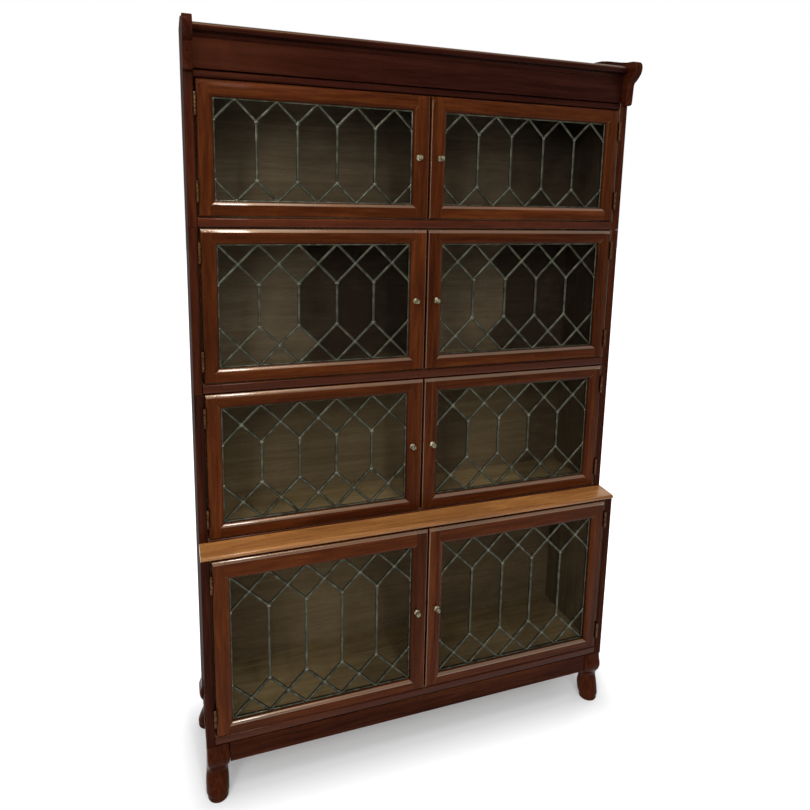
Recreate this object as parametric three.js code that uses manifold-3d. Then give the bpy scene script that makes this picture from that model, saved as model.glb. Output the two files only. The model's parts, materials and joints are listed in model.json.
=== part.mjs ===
// Sectional bookcase in four stacked cases, each closed by a pair of side-hung leaded-glass doors.
// Millimetres, +Z up, the doors face -Y. The origin is on the floor, under the centre of the overall box.
import * as THREE from 'three';
import { mergeVertices } from 'three/addons/utils/BufferGeometryUtils.js';
import Module from 'manifold-3d';

const wasm = await Module();
wasm.setup();

// Carcass
const CASE_WIDTH = 889;
const UPPER_DEPTH = 178;
const LOWER_PROJECTION = 48;
const SIDE_THICKNESS = 16;
const SIDE_ROUND = 3;
const SHELF_THICKNESS = 18;
const SHELF_ROUND = 4;
const SHELF_RECESS = 1.5;
const BACK_THICKNESS = 6;
const BACK_INSET = 3;
const FIT = 0.3;
const OPENING = { lower: 364, middle: 284, upper: 282, top: 232 };
const TOP_BOARD_THICKNESS = 14;
const TOP_BOARD_RECESS = 4;

// Ledge over the lower case
const LEDGE_LIFT = 3;
const LEDGE_BACK_HEIGHT = 12;
const LEDGE_FRONT_HEIGHT = 9.5;
const LEDGE_OVERHANG = 2.5;
const LOWER_TOP_THICKNESS = 18;

// Cornice
const FRIEZE_HEIGHT = 49;
const FRIEZE_THICKNESS = 18;
const FRIEZE_RECESS = 1;
const COVE_HEIGHT = 8;
const COVE_DEPTH = 9;
const NOSING_THICKNESS = 14;
const NOSING_OVERHANG = 14;
const CHEEK_PROJECTION = 38;
const CHEEK_NECK = 14;
const CHEEK_DROP = 6;
const CHEEK_RISE = 7;
const CHEEK_SCROLL = 38;
const GALLERY_RISE = 28;
const GALLERY_RUN = 100;
const GALLERY_THICKNESS = 10;

// Base
const BASE_RAIL_HEIGHT = 40;
const BASE_RAIL_THICKNESS = 20;
const BASE_RAIL_RECESS = 1;
const LEG_CLEARANCE = 76;
const LEG_WIDTH = 43;
const LEG_SIDES = 16;

// Doors
const DOOR_THICKNESS = 20;
const DOOR_GAP = 1.5;
const HINGE_GAP = 3;
const HINGE_STILE = { lower: 31, middle: 28, upper: 28, top: 28 };
const MEETING_STILE = 32;
const FOOT_RAIL = { lower: 24.5, middle: 26.5, upper: 26.5, top: 26.5 };
const HEAD_RAIL = { lower: 38, middle: 28, upper: 28, top: 28 };
const TOP_MOULD_WIDTH = 11;
const HINGE_MOULD_WIDTH = 4.5;
const SMALL_MOULD_WIDTH = 2.5;
const OUTER_MOULD_DEPTH = 4.5;
const SIGHT_MOULD_WIDTH = 8;
const SIGHT_MOULD_DEPTH = 6;
const SIGHT_LIP = 2;
const GROOVE_DEPTH = 6.5;
const GROOVE_WIDTH = 6;
const BACK_CHAMFER = 3;
const MOULD_STEPS = 3;

// Leaded panels
const PANE_THICKNESS = 2.4;
const CAME_WIDTH = 5;
const CAME_LEAF = 1.2;
const CAME_COLUMNS = 5;
const PANE_EDGE = 4;

// Butt hinges
const KNUCKLE_RADIUS = 2.8;
const KNUCKLE_SIDES = 8;
const KNUCKLE_LENGTH = 12;
const KNUCKLE_GAP = 0.6;
const LEAF_THICKNESS = 1;
const LEAF_DEPTH = 17;
const HINGE_INSET = 44;
const PIVOT_FORWARD = 1.5;

// Knobs
const KNOB_OFFSET = 22;
const KNOB_ROSE_RADIUS = 6.5;
const KNOB_ROSE_THICKNESS = 1.6;
const KNOB_HEAD_RADIUS = 5.5;
const KNOB_NECK_RADIUS = 2.6;
const KNOB_LENGTH = 13;
const KNOB_SIDES = 10;

// Worked out from the sizes above
const HALF_WIDTH = CASE_WIDTH / 2;
const INNER_HALF = HALF_WIDTH - SIDE_THICKNESS;
const BASE_HEIGHT = LEG_CLEARANCE + BASE_RAIL_HEIGHT;
const LOWER_FRONT = -LOWER_PROJECTION;
const BACK_FACE = UPPER_DEPTH - BACK_INSET;
const TIERS = ['lower', 'middle', 'upper', 'top'];

const LOOKS = {
  carcass: { color: 0x5a2a16, roughness: 0.3, metalness: 0 },
  ledge: { color: 0x8a5226, roughness: 0.25, metalness: 0 },
  door: { color: 0x6b3418, roughness: 0.28, metalness: 0 },
  back: { color: 0x3c2012, roughness: 0.6, metalness: 0 },
  glass: { color: 0xb8c4bf, roughness: 0.05, metalness: 0 },
  lead: { color: 0x8a8c86, roughness: 0.45, metalness: 0.6 },
  brass: { color: 0xb08d4a, roughness: 0.3, metalness: 0.9 },
};

const bookcase = new THREE.Group();
bookcase.name = 'bookcase';

// ---------------------------------------------------------------- solids

function solidOf(geometry) {
  const plain = geometry.index ? geometry.toNonIndexed() : geometry.clone();
  plain.deleteAttribute('normal');
  plain.deleteAttribute('uv');
  const merged = mergeVertices(plain, 1e-4);
  const mesh = new wasm.Mesh({
    numProp: 3,
    vertProperties: Float32Array.from(merged.attributes.position.array),
    triVerts: Uint32Array.from(merged.index.array),
  });
  return new wasm.Manifold(mesh);
}

function geometryOf(solid) {
  const mesh = solid.getMesh();
  const geometry = new THREE.BufferGeometry();
  geometry.setAttribute('position', new THREE.BufferAttribute(Float32Array.from(mesh.vertProperties), 3));
  geometry.setIndex(new THREE.BufferAttribute(Uint32Array.from(mesh.triVerts), 1));
  return geometry;
}

function addPiece(name, solid, look) {
  const material = new THREE.MeshStandardMaterial(LOOKS[look]);
  const mesh = new THREE.Mesh(geometryOf(solid), material);
  mesh.name = name;
  bookcase.add(mesh);
}

function block(x0, x1, y0, y1, z0, z1) {
  const geometry = new THREE.BoxGeometry(x1 - x0, y1 - y0, z1 - z0);
  geometry.translate((x0 + x1) / 2, (y0 + y1) / 2, (z0 + z1) / 2);
  return solidOf(geometry);
}

// A shape drawn in X and Y, raised from z0 to z1.
function raise(shape, z0, z1, curveSegments = MOULD_STEPS) {
  const geometry = new THREE.ExtrudeGeometry(shape, { depth: z1 - z0, bevelEnabled: false, curveSegments });
  geometry.translate(0, 0, z0);
  return solidOf(geometry);
}

// A shape drawn in Y and Z, run along X from x0 to x1.
function run(shape, x0, x1, curveSegments = MOULD_STEPS) {
  const geometry = new THREE.ExtrudeGeometry(shape, { depth: x1 - x0, bevelEnabled: false, curveSegments });
  const turn = new THREE.Matrix4().makeBasis(
    new THREE.Vector3(0, 1, 0),
    new THREE.Vector3(0, 0, 1),
    new THREE.Vector3(1, 0, 0),
  );
  geometry.applyMatrix4(turn);
  geometry.translate(x0, 0, 0);
  return solidOf(geometry);
}

// A shape drawn in X and Z, run along Y from y0 to y1.
function drive(shape, y0, y1) {
  const geometry = new THREE.ExtrudeGeometry(shape, { depth: y1 - y0, bevelEnabled: false });
  geometry.rotateX(Math.PI / 2);
  geometry.translate(0, y1, 0);
  return solidOf(geometry);
}

function polygon(points) {
  return new THREE.Shape(points.map(([u, v]) => new THREE.Vector2(u, v)));
}

// A closed skin over rings of points that all have the same count. Capped at both ends, or joined end to end.
function skin(rings, joined) {
  const count = rings[0].length;
  const positions = rings.flat(2);
  const faces = [];
  const spans = joined ? rings.length : rings.length - 1;
  for (let r = 0; r < spans; r += 1) {
    const next = (r + 1) % rings.length;
    for (let i = 0; i < count; i += 1) {
      const j = (i + 1) % count;
      faces.push(r * count + i, r * count + j, next * count + j);
      faces.push(r * count + i, next * count + j, next * count + i);
    }
  }
  if (!joined) {
    const last = (rings.length - 1) * count;
    for (let i = 1; i < count - 1; i += 1) {
      faces.push(0, i + 1, i);
      faces.push(last, last + i, last + i + 1);
    }
  }
  const geometry = new THREE.BufferGeometry();
  geometry.setAttribute('position', new THREE.Float32BufferAttribute(positions, 3));
  geometry.setIndex(faces);
  return solidOf(geometry);
}

function mirrored(solid) {
  const geometry = geometryOf(solid);
  geometry.scale(-1, 1, 1);
  const index = geometry.index.array;
  for (let i = 0; i < index.length; i += 3) {
    const kept = index[i];
    index[i] = index[i + 1];
    index[i + 1] = kept;
  }
  return solidOf(geometry);
}

function addPair(leftName, rightName, leftSolid, look) {
  addPiece(leftName, leftSolid, look);
  addPiece(rightName, mirrored(leftSolid), look);
}

// ---------------------------------------------------------------- where each tier stands

function tierPlan() {
  const plan = {};
  let floor = BASE_HEIGHT;
  for (const name of TIERS) {
    const front = name === 'lower' ? LOWER_FRONT : 0;
    const sill = floor + SHELF_THICKNESS;
    const head = sill + OPENING[name];
    plan[name] = { name, front, floor, sill, head };
    floor = head;
  }
  return plan;
}

const PLAN = tierPlan();
const CORNICE_FOOT = PLAN.top.head + TOP_BOARD_THICKNESS;
const CORNICE_TOP = CORNICE_FOOT + FRIEZE_HEIGHT + COVE_HEIGHT + NOSING_THICKNESS;

// ---------------------------------------------------------------- carcass

// Plan outline of the left side panel, with its two front corners rounded.
function sideOutline(front) {
  const outer = -HALF_WIDTH;
  const inner = -INNER_HALF;
  const shape = new THREE.Shape();
  shape.moveTo(outer, UPPER_DEPTH);
  shape.lineTo(outer, front + SIDE_ROUND);
  shape.absarc(outer + SIDE_ROUND, front + SIDE_ROUND, SIDE_ROUND, Math.PI, 1.5 * Math.PI, false);
  shape.absarc(inner - SIDE_ROUND, front + SIDE_ROUND, SIDE_ROUND, 1.5 * Math.PI, 2 * Math.PI, false);
  shape.lineTo(inner, UPPER_DEPTH);
  return shape;
}

function pivotOf(tier) {
  return { x: -INNER_HALF + HINGE_GAP / 2, y: tier.front - PIVOT_FORWARD };
}

function hingeHeights(tier) {
  return [tier.sill + HINGE_INSET, tier.head - HINGE_INSET];
}

// Section of one half of a butt hinge: a leaf let into a wall, and the barrel that its front edge rolls into.
// reach is +1 when the leaf lies to the right of its wall, and -1 when it lies to the left.
function hingeSection(tier, wall, reach) {
  const pivot = pivotOf(tier);
  const buried = wall - reach * FIT;
  const face = wall + reach * LEAF_THICKNESS;
  const back = tier.front + LEAF_DEPTH;
  const crossing = (x) => pivot.y + Math.sqrt(KNUCKLE_RADIUS ** 2 - (x - pivot.x) ** 2);
  const start = Math.atan2(crossing(face) - pivot.y, face - pivot.x);
  const end = Math.atan2(crossing(buried) - pivot.y, buried - pivot.x) - reach * 2 * Math.PI;
  const shape = new THREE.Shape();
  shape.moveTo(buried, back);
  shape.lineTo(face, back);
  for (let i = 0; i <= KNUCKLE_SIDES; i += 1) {
    const angle = start + ((end - start) * i) / KNUCKLE_SIDES;
    shape.lineTo(pivot.x + KNUCKLE_RADIUS * Math.cos(angle), pivot.y + KNUCKLE_RADIUS * Math.sin(angle));
  }
  return shape;
}

// The wall's half of a hinge carries the outer knuckles, and the door's half the middle one.
function hingeHalf(tier, centre, wall, reach, slots) {
  const pivot = pivotOf(tier);
  const pitch = KNUCKLE_LENGTH + KNUCKLE_GAP;
  const half = 1.5 * pitch - KNUCKLE_GAP / 2;
  const clear = pivot.y + KNUCKLE_RADIUS + KNUCKLE_GAP;
  let solid = raise(hingeSection(tier, wall, reach), centre - half, centre + half);
  for (const slot of [-1, 0, 1].filter((each) => !slots.includes(each))) {
    const z0 = slot < 0 ? centre - half - FIT : centre + slot * pitch - pitch / 2 - KNUCKLE_GAP / 2;
    const z1 = slot > 0 ? centre + half + FIT : centre + slot * pitch + pitch / 2 + KNUCKLE_GAP / 2;
    const x = pivot.x;
    solid = solid.subtract(block(x - 2 * KNUCKLE_RADIUS, x + 2 * KNUCKLE_RADIUS, -CASE_WIDTH, clear, z0, z1));
  }
  return solid;
}

function sidePanel(tier) {
  const tops = { lower: tier.head + LEDGE_LIFT, top: tier.head + TOP_BOARD_THICKNESS };
  const top = tops[tier.name] ?? tier.head;
  let solid = raise(sideOutline(tier.front), tier.floor + FIT, top - FIT);
  if (tier.name === 'lower') {
    solid = solid.subtract(block(-CASE_WIDTH, 0, -FIT, CASE_WIDTH, tier.head - FIT, top + FIT));
  }
  for (const centre of hingeHeights(tier)) {
    solid = solid.add(hingeHalf(tier, centre, -INNER_HALF, 1, [-1, 1]));
  }
  return solid;
}

// A board that runs between the side panels, with a rounded front edge.
function shelfOutline(front, back, z0, z1, round) {
  const shape = new THREE.Shape();
  shape.moveTo(back, z0);
  shape.lineTo(back, z1);
  shape.lineTo(front + round, z1);
  shape.absarc(front + round, z1 - round, round, 0.5 * Math.PI, Math.PI, false);
  shape.absarc(front + round, z0 + round, round, Math.PI, 1.5 * Math.PI, false);
  return shape;
}

function addCarcass(tier) {
  const span = INNER_HALF - FIT;
  addPair(`${tier.name}_left_side`, `${tier.name}_right_side`, sidePanel(tier), 'carcass');

  const shelfBack = BACK_FACE - BACK_THICKNESS - FIT;
  const shelf = shelfOutline(tier.front + SHELF_RECESS, shelfBack, tier.floor + FIT, tier.sill, SHELF_ROUND);
  addPiece(`${tier.name}_bottom_board`, run(shelf, -span, span), 'carcass');

  const back = block(-span, span, BACK_FACE - BACK_THICKNESS, BACK_FACE, tier.floor + FIT, tier.head - FIT);
  addPiece(`${tier.name}_back_panel`, back, 'back');
}

// The lower case's top board carries the sloping ledge that the doors close under.
function addLedge() {
  const tier = PLAN.lower;
  const nose = tier.front - LEDGE_OVERHANG;
  const under = tier.head + LEDGE_LIFT;
  const nosing = new THREE.Shape();
  nosing.moveTo(-FIT, under);
  nosing.lineTo(-FIT, under + LEDGE_BACK_HEIGHT);
  nosing.lineTo(nose + LEDGE_FRONT_HEIGHT / 2, under + LEDGE_FRONT_HEIGHT);
  nosing.absarc(nose + LEDGE_FRONT_HEIGHT / 2, under + LEDGE_FRONT_HEIGHT / 2, LEDGE_FRONT_HEIGHT / 2,
    0.5 * Math.PI, 1.5 * Math.PI, false);
  const ledge = run(nosing, -HALF_WIDTH, HALF_WIDTH, 2 * MOULD_STEPS);

  const stop = tier.front + DOOR_THICKNESS + 1;
  const boardBack = BACK_FACE - BACK_THICKNESS - FIT;
  const board = run(polygon([
    [stop, tier.head - LOWER_TOP_THICKNESS],
    [boardBack, tier.head - LOWER_TOP_THICKNESS],
    [boardBack, tier.head - FIT],
    [-FIT, tier.head - FIT],
    [-FIT, under + LEDGE_FRONT_HEIGHT],
    [stop, under + LEDGE_FRONT_HEIGHT],
  ]), -INNER_HALF + FIT, INNER_HALF - FIT);
  addPiece('lower_ledge_top', ledge.add(board), 'ledge');
}

function addTopBoard() {
  const tier = PLAN.top;
  const board = shelfOutline(TOP_BOARD_RECESS, BACK_FACE - BACK_THICKNESS - FIT, tier.head, CORNICE_FOOT - FIT,
    SHELF_ROUND);
  addPiece('top_case_board', run(board, -INNER_HALF + FIT, INNER_HALF - FIT), 'carcass');
}

// ---------------------------------------------------------------- cornice

// Side view of a cheek: a scroll over an S-shaped neck in front, and a gallery end that rises behind it.
function cheekOutline() {
  const foot = CORNICE_FOOT + FIT;
  const low = CORNICE_FOOT - CHEEK_DROP;
  const brow = CORNICE_TOP + CHEEK_RISE;
  const crest = CORNICE_TOP + GALLERY_RISE;
  const fall = (share) => brow - share * CHEEK_SCROLL;
  const swell = CHEEK_PROJECTION - CHEEK_NECK;
  const reach = (share) => -CHEEK_NECK - share * swell;
  const shape = new THREE.Shape();
  shape.moveTo(UPPER_DEPTH, foot);
  shape.lineTo(UPPER_DEPTH, crest);
  shape.lineTo(GALLERY_RUN, crest);
  shape.bezierCurveTo(GALLERY_RUN * 0.6, crest, GALLERY_RUN * 0.1, brow, reach(0.35), brow);
  shape.bezierCurveTo(reach(0.8), brow, reach(1), fall(0.15), reach(1), fall(0.37));
  shape.bezierCurveTo(reach(1), fall(0.68), reach(0.6), fall(0.84), reach(0.33), fall(1));
  shape.quadraticCurveTo(reach(0.08), fall(1.03), reach(0.04), fall(1.25));
  shape.lineTo(reach(-0.04), low + CHEEK_DROP);
  shape.quadraticCurveTo(reach(-0.08), low, -CHEEK_NECK / 2, low);
  shape.lineTo(-FIT, low);
  shape.lineTo(-FIT, foot);
  return shape;
}

function addCornice() {
  const span = INNER_HALF - FIT;
  addPair('cornice_left_cheek', 'cornice_right_cheek', run(cheekOutline(), -HALF_WIDTH, -INNER_HALF, 6), 'carcass');

  const friezeTop = CORNICE_FOOT + FRIEZE_HEIGHT;
  const frieze = block(-span, span, FRIEZE_RECESS, FRIEZE_RECESS + FRIEZE_THICKNESS, CORNICE_FOOT, friezeTop);
  addPiece('cornice_frieze', frieze, 'carcass');

  const galleryFront = UPPER_DEPTH - GALLERY_THICKNESS;
  const boardFoot = friezeTop + COVE_HEIGHT;
  const radius = NOSING_THICKNESS / 2;
  const lid = new THREE.Shape();
  lid.moveTo(galleryFront - FIT, boardFoot);
  lid.lineTo(galleryFront - FIT, CORNICE_TOP);
  lid.lineTo(-NOSING_OVERHANG + radius, CORNICE_TOP);
  lid.absarc(-NOSING_OVERHANG + radius, CORNICE_TOP - radius, radius, 0.5 * Math.PI, 1.5 * Math.PI, false);
  lid.quadraticCurveTo(FRIEZE_RECESS, boardFoot, FRIEZE_RECESS, boardFoot - COVE_DEPTH + FIT + 1);
  lid.lineTo(FRIEZE_RECESS + FRIEZE_THICKNESS, friezeTop + FIT);
  lid.lineTo(FRIEZE_RECESS + FRIEZE_THICKNESS, boardFoot);
  addPiece('cornice_top_board', run(lid, -span, span, 5), 'carcass');

  const gallery = block(-span, span, galleryFront, UPPER_DEPTH, CORNICE_FOOT + FIT, CORNICE_TOP + GALLERY_RISE);
  addPiece('cornice_back_board', gallery, 'carcass');
}

// ---------------------------------------------------------------- base

// A section of the leg with half widths a and b: a rounded square when power is high, a disc when it is 2.
function legRing(x, y, z, a, b, power) {
  const ring = [];
  for (let i = 0; i < LEG_SIDES; i += 1) {
    const angle = (2 * Math.PI * i) / LEG_SIDES;
    const c = Math.cos(angle);
    const s = Math.sin(angle);
    ring.push([
      x + a * Math.sign(c) * Math.abs(c) ** (2 / power),
      y + b * Math.sign(s) * Math.abs(s) ** (2 / power),
      z,
    ]);
  }
  return ring;
}

// The leg from pad to top, in shares: height of the base; how far the face swells forward, and the back and
// the inner face draw in, in leg widths; and how far the outer face swells sideways.
const LEG_STATIONS = [
  { height: 0, front: 0.19, back: 0.26, inner: 0.1, outer: 0.0, power: 2 },
  { height: 0.043, front: 0.21, back: 0.27, inner: 0.09, outer: 0.01, power: 2 },
  { height: 0.069, front: 0.17, back: 0.3, inner: 0.11, outer: 0.0, power: 2 },
  { height: 0.095, front: 0.22, back: 0.16, inner: 0.06, outer: 0.06, power: 2 },
  { height: 0.172, front: 0.18, back: 0.07, inner: 0.05, outer: 0.07, power: 2.1 },
  { height: 0.26, front: 0.08, back: 0.07, inner: 0.05, outer: 0.07, power: 2.3 },
  { height: 0.345, front: -0.04, back: 0.14, inner: 0.06, outer: 0.06, power: 2.5 },
  { height: 0.45, front: -0.15, back: 0.23, inner: 0.08, outer: 0.03, power: 2.7 },
  { height: 0.535, front: -0.11, back: 0.16, inner: 0.06, outer: 0.02, power: 3.2 },
  { height: 0.6, front: 0.0, back: 0.07, inner: 0.02, outer: 0.01, power: 4 },
  { height: 0.68, front: 0.1, back: 0, inner: 0, outer: 0, power: 6 },
  { height: 0.78, front: 0.13, back: 0, inner: 0, outer: 0, power: 7 },
  { height: 0.89, front: 0.03, back: 0, inner: 0, outer: 0, power: 7 },
  { height: 1, front: 0, back: 0, inner: 0, outer: 0, power: 7 },
];

// The front legs swell forwards; the back legs are the same legs turned to swell sideways.
function legSolid(swellsForward) {
  const half = LEG_WIDTH / 2;
  const centreX = -HALF_WIDTH + half;
  const rings = LEG_STATIONS.map((s) => {
    const z = s.height * BASE_HEIGHT;
    const along = half + (LEG_WIDTH * (s.front - s.back)) / 2;
    const across = half + (LEG_WIDTH * (s.outer - s.inner)) / 2;
    const ahead = (LEG_WIDTH * (s.front + s.back)) / 2;
    const aside = (LEG_WIDTH * (s.outer + s.inner)) / 2;
    if (swellsForward) {
      return legRing(centreX - aside, LOWER_FRONT + half - ahead, z, across, along, s.power);
    }
    return legRing(centreX - ahead, UPPER_DEPTH - half - aside, z, along, across - aside, s.power);
  });
  return skin(rings, false);
}

// A frame let in around the four legs, with a square block behind each of them.
function baseFrame() {
  const x = HALF_WIDTH;
  const front = LOWER_FRONT + BASE_RAIL_RECESS;
  const back = UPPER_DEPTH - BASE_RAIL_RECESS;
  const leg = LEG_WIDTH + FIT;
  const notchX = x - leg;
  const notchFront = LOWER_FRONT + leg;
  const notchBack = UPPER_DEPTH - leg;
  const t = BASE_RAIL_THICKNESS;
  const sideX = x - BASE_RAIL_RECESS;
  const outer = [
    [-notchX, front], [notchX, front], [notchX, notchFront], [sideX, notchFront],
    [sideX, notchBack], [notchX, notchBack], [notchX, back], [-notchX, back],
    [-notchX, notchBack], [-sideX, notchBack], [-sideX, notchFront], [-notchX, notchFront],
  ];
  const inX = notchX - t;
  const inFront = notchFront + t;
  const inBack = notchBack - t;
  const inner = [
    [-inX, front + t], [-inX, inFront], [-sideX + t, inFront], [-sideX + t, inBack],
    [-inX, inBack], [-inX, back - t], [inX, back - t], [inX, inBack],
    [sideX - t, inBack], [sideX - t, inFront], [inX, inFront], [inX, front + t],
  ];
  const shape = polygon(outer);
  shape.holes.push(polygon(inner));
  return raise(shape, LEG_CLEARANCE, BASE_HEIGHT);
}

function addBase() {
  addPiece('base_frame', baseFrame(), 'carcass');
  addPair('front_left_leg', 'front_right_leg', legSolid(true), 'carcass');
  addPair('back_left_leg', 'back_right_leg', legSolid(false), 'carcass');
}

// ---------------------------------------------------------------- doors

function doorBox(tier) {
  return {
    x0: -INNER_HALF + HINGE_GAP,
    x1: -DOOR_GAP,
    z0: tier.sill + DOOR_GAP,
    z1: tier.head - DOOR_GAP,
    y: tier.front,
  };
}

function sightBox(tier) {
  const door = doorBox(tier);
  return {
    x0: door.x0 + HINGE_STILE[tier.name],
    x1: door.x1 - MEETING_STILE,
    z0: door.z0 + FOOT_RAIL[tier.name],
    z1: door.z1 - HEAD_RAIL[tier.name],
  };
}

function rectangleRing(x0, x1, z0, z1, y) {
  return [[x0, y, z0], [x1, y, z0], [x1, y, z1], [x0, y, z1]];
}

// The frame is one profile taken round the rectangle and mitred: a moulded outer edge, a flat face,
// an ovolo at the sight edge, and a groove at the back of it that holds the leaded panel.
function doorFrame(tier) {
  const door = doorBox(tier);
  const sight = sightBox(tier);
  const rings = [];
  const outerRing = (t, depth) => rings.push(rectangleRing(
    door.x0 + t * HINGE_MOULD_WIDTH, door.x1 - t * SMALL_MOULD_WIDTH,
    door.z0 + t * SMALL_MOULD_WIDTH, door.z1 - t * TOP_MOULD_WIDTH, door.y + depth));
  const sightRing = (grow, depth) => rings.push(rectangleRing(
    sight.x0 - grow, sight.x1 + grow, sight.z0 - grow, sight.z1 + grow, door.y + depth));

  outerRing(0, DOOR_THICKNESS);
  for (let i = 0; i <= MOULD_STEPS; i += 1) {
    const angle = (i / MOULD_STEPS) * (Math.PI / 2);
    outerRing(1 - Math.cos(angle), OUTER_MOULD_DEPTH * (1 - Math.sin(angle)));
  }
  for (let i = 0; i <= MOULD_STEPS; i += 1) {
    const angle = (i / MOULD_STEPS) * (Math.PI / 2);
    sightRing(SIGHT_MOULD_WIDTH * (1 - Math.sin(angle)), SIGHT_MOULD_DEPTH * (1 - Math.cos(angle)));
  }
  const grooveFront = SIGHT_MOULD_DEPTH + SIGHT_LIP;
  sightRing(0, grooveFront);
  sightRing(GROOVE_DEPTH, grooveFront);
  sightRing(GROOVE_DEPTH, grooveFront + GROOVE_WIDTH);
  sightRing(0, grooveFront + GROOVE_WIDTH);
  sightRing(BACK_CHAMFER, DOOR_THICKNESS);

  let solid = skin(rings, true);
  for (const centre of hingeHeights(tier)) {
    solid = solid.add(hingeHalf(tier, centre, door.x0, -1, [0]));
  }
  return solid;
}

// The outline of one light with each edge moved inwards by half a came.
function insetLight(points) {
  const count = points.length;
  const area = points.reduce((sum, [x, z], i) => {
    const [nx, nz] = points[(i + 1) % count];
    return sum + x * nz - nx * z;
  }, 0);
  const inward = Math.sign(area) * (CAME_WIDTH / 2);
  const edges = points.map(([x, z], i) => {
    const [nx, nz] = points[(i + 1) % count];
    const length = Math.hypot(nx - x, nz - z);
    const dx = (nx - x) / length;
    const dz = (nz - z) / length;
    return { x: x - dz * inward, z: z + dx * inward, dx, dz };
  });
  return edges.map((edge, i) => {
    const last = edges[(i + count - 1) % count];
    const cross = last.dx * edge.dz - last.dz * edge.dx;
    const t = ((edge.x - last.x) * edge.dz - (edge.z - last.z) * edge.dx) / cross;
    return [last.x + last.dx * t, last.z + last.dz * t];
  });
}

// The lights between the cames: tall ones side by side, which end in a row of points on the top case,
// and in a row of diamonds on the others.
function panelLights(tier, sight) {
  const pitch = (sight.x1 - sight.x0) / CAME_COLUMNS;
  const half = pitch / 2;
  const rows = tier.name === 'top' ? 1 : 2;
  const reach = rows * half;
  const lights = [];
  for (let k = 0; k < CAME_COLUMNS; k += 1) {
    const x = sight.x0 + k * pitch;
    const low = sight.z0 + reach;
    const high = sight.z1 - reach;
    lights.push([
      [x, low], [x + half, low - half], [x + pitch, low],
      [x + pitch, high], [x + half, high + half], [x, high],
    ]);
  }
  for (const [edge, up] of [[sight.z0, 1], [sight.z1, -1]]) {
    for (let k = 0; k <= CAME_COLUMNS; k += 1) {
      const x = sight.x0 + k * pitch;
      const atEnd = k === 0 || k === CAME_COLUMNS;
      const shoulder = edge + up * (reach - half);
      const light = [[x, edge + up * reach]];
      if (k < CAME_COLUMNS) {
        light.push([x + half, shoulder]);
      }
      if (rows > 1 || atEnd) {
        light.push([x, edge]);
      }
      if (k > 0) {
        light.push([x - half, shoulder]);
      }
      lights.push(light);
      if (rows > 1 && k < CAME_COLUMNS) {
        lights.push([[x, edge], [x + half, edge + up * half], [x + pitch, edge]]);
      }
    }
  }
  return lights.map(insetLight);
}

function panelDepths(tier) {
  const middle = tier.front + SIGHT_MOULD_DEPTH + SIGHT_LIP + GROOVE_WIDTH / 2;
  const pane = PANE_THICKNESS / 2;
  const came = pane + FIT + CAME_LEAF;
  return { pane0: middle - pane, pane1: middle + pane, came0: middle - came, came1: middle + came };
}

function grown(sight, by, y0, y1) {
  return block(sight.x0 - by, sight.x1 + by, y0, y1, sight.z0 - by, sight.z1 + by);
}

// The lead lattice: cames on both faces of the pane, joined by the border came that wraps its edge.
function cameLattice(tier) {
  const sight = sightBox(tier);
  const depths = panelDepths(tier);
  const sheet = grown(sight, GROOVE_DEPTH - FIT, depths.came0, depths.came1);
  const lights = panelLights(tier, sight).map((light) => drive(polygon(light), depths.came0 - 1, depths.came1 + 1));
  const lattice = sheet.subtract(wasm.Manifold.union(lights));
  return lattice.subtract(grown(sight, PANE_EDGE + FIT, depths.pane0 - FIT, depths.pane1 + FIT));
}

function glassPane(tier) {
  const depths = panelDepths(tier);
  return grown(sightBox(tier), PANE_EDGE, depths.pane0, depths.pane1);
}

// A small turned knob on a rose, its axis along -Y.
function knob(tier) {
  const door = doorBox(tier);
  const profile = [
    [0, 0],
    [KNOB_ROSE_RADIUS, 0],
    [KNOB_ROSE_RADIUS - 1, KNOB_ROSE_THICKNESS],
    [KNOB_NECK_RADIUS, 2 * KNOB_ROSE_THICKNESS],
    [KNOB_NECK_RADIUS, KNOB_LENGTH / 2],
    [KNOB_HEAD_RADIUS, KNOB_LENGTH * 0.7],
    [KNOB_HEAD_RADIUS * 0.75, KNOB_LENGTH * 0.93],
    [0, KNOB_LENGTH],
  ];
  const points = profile.map(([radius, length]) => new THREE.Vector2(radius, length));
  const geometry = new THREE.LatheGeometry(points, KNOB_SIDES);
  geometry.rotateX(Math.PI);
  geometry.translate(-KNOB_OFFSET, door.y - FIT, (door.z0 + door.z1) / 2);
  return solidOf(geometry);
}

function addDoors(tier) {
  const left = `${tier.name}_left`;
  const right = `${tier.name}_right`;
  addPair(`${left}_door_frame`, `${right}_door_frame`, doorFrame(tier), 'door');
  addPair(`${left}_came_lattice`, `${right}_came_lattice`, cameLattice(tier), 'lead');
  addPair(`${left}_glass_pane`, `${right}_glass_pane`, glassPane(tier), 'glass');
  addPair(`${left}_knob`, `${right}_knob`, knob(tier), 'brass');
}

// ---------------------------------------------------------------- assembly

addBase();
for (const name of TIERS) {
  addCarcass(PLAN[name]);
  addDoors(PLAN[name]);
}
addLedge();
addTopBoard();
addCornice();

const box = new THREE.Box3().setFromObject(bookcase);
bookcase.position.y = -(box.min.y + box.max.y) / 2;

export default bookcase;
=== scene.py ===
"""Looks of the stacking bookcase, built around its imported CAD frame. Metres, +Z up, the doors face -Y."""

import json
import math
import random

import bmesh
import bpy
from mathutils import Matrix, Vector


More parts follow.
